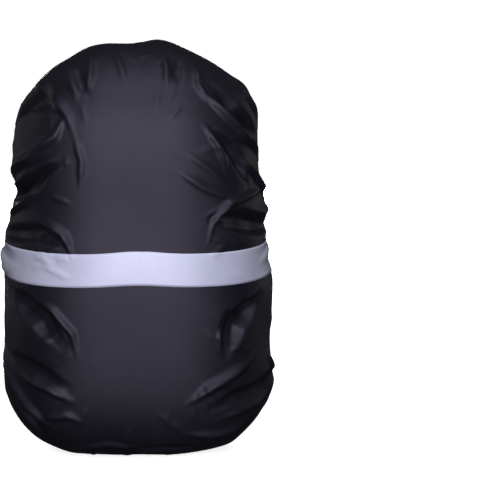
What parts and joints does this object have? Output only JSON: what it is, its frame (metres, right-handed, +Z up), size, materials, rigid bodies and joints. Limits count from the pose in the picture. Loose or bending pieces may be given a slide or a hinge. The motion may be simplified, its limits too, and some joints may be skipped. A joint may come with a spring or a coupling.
{
  "type": "backpack rain cover",
  "caption": "Coated cloth rain cover with a gathered, bound opening, a reflective band, crossing webbing straps with side-release buckles and a zipped storage pouch.",
  "frame": {"origin": "middle of the footprint of the filled-out cover's bounding box, on the surface it stands on", "axes": "+Z up the cover, -Y out of its front, +Y out of its opening, +X to the right seen from the front"},
  "size_m": [0.4124, 0.271, 0.62],
  "materials": {
    "cover_cloth": "satin",
    "reflective": "satin",
    "seam_tape": "matte",
    "binding": "matte",
    "elastic": "matte",
    "webbing": "matte",
    "buckle": "satin",
    "thread": "matte",
    "pouch_cloth": "satin",
    "zip_tape": "matte",
    "zip_coil": "satin",
    "zip_metal": "polished"
  },
  "bodies": {
    "cover": {"upper_shell": "cover_cloth", "lower_shell": "cover_cloth", "reflective_band": "reflective", "upper_right_seam_tape": "seam_tape", "upper_left_seam_tape": "seam_tape", "lower_left_seam_tape": "seam_tape", "lower_right_seam_tape": "seam_tape", "hem_binding": "binding", "hem_elastic": "elastic", "pouch_tape": "binding", "top_anchor_webbing": "webbing", "top_anchor_stitching": "thread", "top_buckle_socket": "buckle", "top_strap": "webbing", "top_strap_stitching": "thread", "side_anchor_webbing": "webbing", "side_anchor_stitching": "thread", "side_buckle_socket": "buckle", "side_strap": "webbing", "side_strap_stitching": "thread"},
    "pouch": {"pouch_back_panel": "pouch_cloth", "pouch_front_panel": "pouch_cloth", "pouch_edge_binding": "pouch_cloth", "zip_tape_left": "zip_tape", "zip_tape_right": "zip_tape", "zip_coil_left": "zip_coil", "zip_coil_right": "zip_coil", "zip_bottom_stop": "zip_metal", "zip_top_stop": "zip_metal"},
    "slider": {"zip_slider": "zip_metal"},
    "pull": {"zip_pull": "zip_metal"},
    "top_plug": {"top_buckle_plug": "buckle", "top_strap_wrap": "webbing"},
    "top_prong_left": {"top_prong_a": "buckle"},
    "top_prong_right": {"top_prong_b": "buckle"},
    "top_tail": {"top_strap_tail": "webbing", "top_tail_stitching": "thread"},
    "side_plug": {"side_buckle_plug": "buckle", "side_strap_wrap": "webbing", "side_tail_turn": "webbing"},
    "side_prong_left": {"side_prong_a": "buckle"},
    "side_prong_right": {"side_prong_b": "buckle"},
    "side_tail": {"side_strap_tail": "webbing", "side_tail_stitching": "thread"}
  },
  "joints": [
    {"name": "top_buckle_release", "type": "slide", "parent": "cover", "child": "top_plug", "axis": [0, 0, -1], "range_m": [0, 0.026], "deforming": ["top_strap"]},
    {"name": "top_prong_squeeze", "type": "hinge", "parent": "top_plug", "child": "top_prong_left", "pos_m": [0.01288, 0.12195, 0.41402], "axis": [0, 1, 0], "range_deg": [0, 9], "stiffness_Nm_per_rad": 0.05},
    {"name": "top_prong_squeeze_right", "type": "hinge", "parent": "top_plug", "child": "top_prong_right", "pos_m": [-0.01252, 0.12195, 0.41402], "axis": [0, -1, 0], "range_deg": [0, 9], "stiffness_Nm_per_rad": 0.05},
    {"name": "top_tail_lift", "type": "hinge", "parent": "top_plug", "child": "top_tail", "pos_m": [0.00018, 0.11935, 0.39782], "axis": [1, 0, 0], "range_deg": [0, 60]},
    {"name": "side_buckle_release", "type": "slide", "parent": "cover", "child": "side_plug", "axis": [-1, 0, 0], "range_m": [0, 0.026], "deforming": ["side_strap"]},
    {"name": "side_prong_squeeze", "type": "hinge", "parent": "side_plug", "child": "side_prong_left", "pos_m": [0.07318, 0.12055, 0.29332], "axis": [0, 1, 0], "range_deg": [0, 9], "stiffness_Nm_per_rad": 0.05},
    {"name": "side_prong_squeeze_right", "type": "hinge", "parent": "side_plug", "child": "side_prong_right", "pos_m": [0.07318, 0.12055, 0.31872], "axis": [0, -1, 0], "range_deg": [0, 9], "stiffness_Nm_per_rad": 0.05},
    {"name": "side_tail_lift", "type": "hinge", "parent": "side_plug", "child": "side_tail", "pos_m": [0.04158, 0.12275, 0.30002], "axis": [1, 0, 0], "range_deg": [0, 60]},
    {"name": "pouch_swing", "type": "hinge", "parent": "cover", "child": "pouch", "pos_m": [-0.13582, 0.12665, 0.27602], "axis": [1, 0, 0], "range_deg": [0, 90]},
    {"name": "zip_slide", "type": "slide", "parent": "pouch", "child": "slider", "axis": [0, 0, -1], "range_m": [0, 0.1684]},
    {"name": "zip_pull_lift", "type": "hinge", "parent": "slider", "child": "pull", "pos_m": [-0.07972, 0.13375, 0.25822], "axis": [1, 0, 0], "range_deg": [0, 150]}
  ],
  "couplings": [
    {"joint": "top_prong_squeeze_right", "follows": "top_prong_squeeze", "ratio": 1},
    {"joint": "side_prong_squeeze_right", "follows": "side_prong_squeeze", "ratio": 1}
  ]
}
